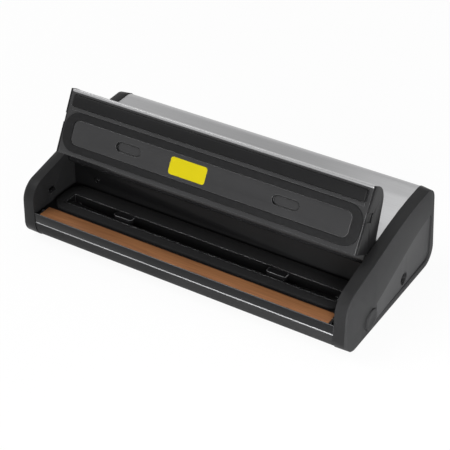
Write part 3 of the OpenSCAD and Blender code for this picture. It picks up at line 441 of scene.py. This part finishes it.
# Each solid's node, its finish and the width of its rounded edges in millimetres
MOULDINGS = [
    ("base_tray", black_shell, 0.5),
    ("front_fascia", fascia_black, 0.8),
    ("front_trim", trim_black, 1.0),
    ("chamber_deck", deck_black, 0.5),
    ("drip_tray", deck_black, 0.8),
    ("bag_stops", gloss_black, 0.9),
    ("lower_gasket", ring_foam, 0.9),
    ("release_tape", heat_tape, 0.15),
    ("left_cheek", black_shell, 0.7),
    ("right_cheek", black_shell, 0.7),
    ("left_side_cover", cover_grey, 1.4),
    ("right_side_cover", cover_grey, 1.4),
    ("top_panel", top_steel, 0.5),
    ("rear_cover", black_shell, 0.6),
    ("control_strip", gloss_black, 0.4),
    ("hose_port", black_shell, 0.4),
    ("mains_inlet", black_shell, 0.5),
    ("rubber_feet", foot_rubber, 0.7),
    ("lid_sensor", gloss_black, 0.4),
    ("lid_skin", hem_steel, 0.3),
    ("lid_liner", liner_black, 0.5),
    ("left_lid_cap", cap_black, 0.5),
    ("right_lid_cap", cap_black, 0.5),
    ("lid_gasket", gasket_foam, 0.9),
    ("pressure_bar", bar_silicone, 1.0),
    ("left_release_button", cover_grey, 0.6),
    ("right_release_button", cover_grey, 0.6),
    ("left_catch", gloss_black, 0.4),
    ("right_catch", gloss_black, 0.4),
    ("key_1", black_shell, 0.4),
    ("key_2", black_shell, 0.4),
    ("key_3", black_shell, 0.4),
    ("key_4", black_shell, 0.4),
    ("indicator_lenses", lens_clear, 0.2),
    ("control_board", board_green, 0),
]
mouldings = {node: moulded(node, material, edge) for node, material, edge in MOULDINGS}

# Only the fascia's upper front edge, down to UPPER_EDGE_REACH millimetres below the trim, keeps its painted
# highlight
UPPER_EDGE_REACH = 1.5
trim_bottom_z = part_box("front_trim")[0][2]
for face in mouldings["front_fascia"].data.polygons:
    keeps_painted_highlight = face.center.z >= trim_bottom_z - UPPER_EDGE_REACH * MM and face.normal.y <= -0.1
    if face.material_index == HIGHLIGHT_SLOT and not keeps_painted_highlight:
        face.material_index = MAIN_SLOT

# The sunk panel of each side cover is painted lighter than the rest, painted light on the same plastic. It is
# what lies at least SUNK_BY millimetres behind the cover's leaning outer face and faces outwards too.
SUNK_BY = 0.04
cover_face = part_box("right_side_cover")[1][0]


def takes_painted_light(centre, normal, side):
    outer_face = cover_face - centre.z * math.tan(math.radians(COVER_LEAN))
    return side * normal.x > 0.95 and side * centre.x < outer_face - SUNK_BY * MM


for side, node in ((1, "right_side_cover"), (-1, "left_side_cover")):
    cover = mouldings[node]
    cover.data.materials.append(panel_grey_painted_light)
    for face in cover.data.polygons:
        if takes_painted_light(face.center, face.normal, side):
            face.material_index = PAINTED_LIGHT_SLOT

# Solids inside, underneath and behind openings keep their shape and get a finish
HIDDEN_FINISHES = {
    "heater_bar": black_shell,
    "heating_ribbon": pin_steel,
    "inlet_pins": pin_steel,
    "base_screws": pin_steel,
    "catch_pins": pin_steel,
    "hinge_pins": pin_steel,
    "pump_housing": black_shell,
    "pump_motor": pin_steel,
    "pump_crank": pin_steel,
    "pump_bracket": pin_steel,
    "vacuum_hose": hose_clear,
    "port_hose": hose_clear,
    "air_valve": black_shell,
    "transformer": pin_steel,
    "power_board": board_green,
}
for node, material in HIDDEN_FINISHES.items():
    finish_with(frame["nodes"][node], material)


# ---------------------------------------------------------------- label inside the lid

# The blank label, in millimetres, as it lies on the liner when the lid is shut
LABEL_PLACE = (-19.5, -52.2, 39.28)
LABEL_SIZE = (42.3, 17.7)
LABEL_CORNER = 3
LABEL_THICKNESS = 0.12
LABEL_EDGE = 0.05

hinge = next(j for j in frame["record"]["behaviour"]["joints"] if j["name"] == "lid_hinge")
lid_turn = Matrix.Rotation(-math.radians(hinge["range_deg"][1]), 4, "X")
lid_pivot = Vector(hinge["pos_m"])


def open_with_lid(piece):
    """Turns a piece that was made on the shut lid to where the open lid has it."""
    work_on(piece)
    piece.matrix_world = Matrix.Translation(lid_pivot) @ lid_turn @ Matrix.Translation(-lid_pivot)
    place_in_mesh(piece)


bpy.ops.mesh.primitive_plane_add(size=1, location=[c * MM for c in LABEL_PLACE])
label = bpy.context.active_object
label.name = "lid_label"
label.scale = (LABEL_SIZE[0] * MM, LABEL_SIZE[1] * MM, 1)
place_in_mesh(label)
edit_all(label)
bpy.ops.mesh.bevel(offset=LABEL_CORNER * MM, segments=8, affect="VERTICES")
bpy.ops.mesh.extrude_region_move(TRANSFORM_OT_translate={"value": (0, 0, LABEL_THICKNESS * MM)})
bpy.ops.mesh.select_all(action="SELECT")
bpy.ops.mesh.normals_make_consistent(inside=False)
object_mode()
open_with_lid(label)
round_edges(label, LABEL_EDGE, segments=1, angle=60)
smooth(label)
finish_with(label, label_yellow)
carry(label, "lid", "black_gloss")


# ---------------------------------------------------------------- camera, floor and light

# The camera's place in millimetres, how far it looks down and to the left in degrees, and its lens in pixels
CAMERA_PLACE = (623.25, -1003.09, 850.70)
CAMERA_DOWN = 34.784
CAMERA_LEFT = 31.94
FOCAL_LENGTH = 1396.26
PICTURE_WIDTH = 450

camera_data = bpy.data.cameras.new("camera")
camera_data.sensor_width = 36
camera_data.lens = FOCAL_LENGTH * 36 / PICTURE_WIDTH
camera = bpy.data.objects.new("camera", camera_data)
camera.location = [c * MM for c in CAMERA_PLACE]
camera.rotation_euler = (math.radians(90 - CAMERA_DOWN), 0, math.radians(CAMERA_LEFT))
bpy.context.scene.collection.objects.link(camera)
bpy.context.scene.camera = camera

# The floor's width in metres, how far below the feet it lies in millimetres, and how much of it shows its own
# white, unshaded, to the rays that see the studio
FLOOR_SIZE = 8
FLOOR_DROP = 0.2
FLOOR_GLOW = 0.93

# The backdrop's strength overhead, where it starts and ends its fall to that (the sine of the angle above the
# floor), and the strength of the light that the room gives
CEILING = 0.42
FALL_FROM = 0.35
FALL_TO = 0.85
ROOM = 0.36

bpy.ops.mesh.primitive_plane_add(size=FLOOR_SIZE, location=(0, 0, -FLOOR_DROP * MM))
floor = bpy.context.active_object
floor.name = "floor"


def sees_backdrop(tree):
    """One for the rays that show the studio itself: the camera's, the glossy and the transmitted ones."""
    rays = tree.nodes.new("ShaderNodeLightPath")
    total = rays.outputs["Is Camera Ray"]
    for kind in ("Is Glossy Ray", "Is Transmission Ray"):
        either = tree.nodes.new("ShaderNodeMath")
        either.operation = "MAXIMUM"
        tree.links.new(total, either.inputs[0])
        tree.links.new(rays.outputs[kind], either.inputs[1])
        total = either.outputs[0]
    return total


material, tree, shader = new_finish("white floor")
shader.inputs["Base Color"].default_value = (0.9, 0.9, 0.9, 1)
shader.inputs["Roughness"].default_value = 0.8
shader.inputs["Specular IOR Level"].default_value = 0.0
glow = tree.nodes.new("ShaderNodeEmission")
glow.inputs["Strength"].default_value = 1.0
mix = tree.nodes.new("ShaderNodeMixShader")
share = tree.nodes.new("ShaderNodeMath")
share.operation = "MULTIPLY"
share.inputs[1].default_value = FLOOR_GLOW
tree.links.new(sees_backdrop(tree), share.inputs[0])
tree.links.new(share.outputs[0], mix.inputs["Fac"])
tree.links.new(shader.outputs["BSDF"], mix.inputs[1])
tree.links.new(glow.outputs["Emission"], mix.inputs[2])
tree.links.new(mix.outputs["Shader"], tree.nodes["Material Output"].inputs["Surface"])
floor.data.materials.append(material)

# The backdrop is white low down and falls smoothly to the ceiling's grey overhead
world = bpy.data.worlds.new("studio")
bpy.context.scene.world = world
world.use_nodes = True
tree = world.node_tree
tree.nodes.clear()
where = tree.nodes.new("ShaderNodeTexCoord")
split = tree.nodes.new("ShaderNodeSeparateXYZ")
tree.links.new(where.outputs["Generated"], split.inputs["Vector"])
height = tree.nodes.new("ShaderNodeMapRange")
height.interpolation_type = "SMOOTHSTEP"
height.inputs["From Min"].default_value = FALL_FROM
height.inputs["From Max"].default_value = FALL_TO
height.inputs["To Min"].default_value = 1.0
height.inputs["To Max"].default_value = CEILING
tree.links.new(split.outputs["Z"], height.inputs["Value"])
backdrop = tree.nodes.new("ShaderNodeBackground")
backdrop.inputs["Color"].default_value = (1, 1, 1, 1)
tree.links.new(height.outputs["Result"], backdrop.inputs["Strength"])
room = tree.nodes.new("ShaderNodeBackground")
room.inputs["Color"].default_value = (1, 1, 1, 1)
room.inputs["Strength"].default_value = ROOM
mix = tree.nodes.new("ShaderNodeMixShader")
output = tree.nodes.new("ShaderNodeOutputWorld")
tree.links.new(sees_backdrop(tree), mix.inputs["Fac"])
tree.links.new(room.outputs["Background"], mix.inputs[1])
tree.links.new(backdrop.outputs["Background"], mix.inputs[2])
tree.links.new(mix.outputs["Shader"], output.inputs["Surface"])


def soft_box(name, place, aim, size, power):
    """An area light: its place, aim and size in metres and its power in watts."""
    data = bpy.data.lights.new(name, "AREA")
    data.shape = "RECTANGLE"
    data.size, data.size_y = size
    data.energy = power
    lamp = bpy.data.objects.new(name, data)
    lamp.location = place
    lamp.rotation_euler = (Vector(aim) - Vector(place)).to_track_quat("-Z", "Y").to_euler()
    bpy.context.scene.collection.objects.link(lamp)


soft_box("key light", (-1.0, -0.5, 1.7), (0, 0, 0.05), (1.2, 1.2), 21)
soft_box("top light", (0.22, 0.85, 1.4), (0.12, 0, 0.05), (1.1, 0.8), 3.4)
soft_box("side light", (0.55, -0.60, 0.20), (0.19, -0.08, 0.03), (0.3, 0.3), 6.0)

bpy.context.scene.view_settings.view_transform = "Standard"
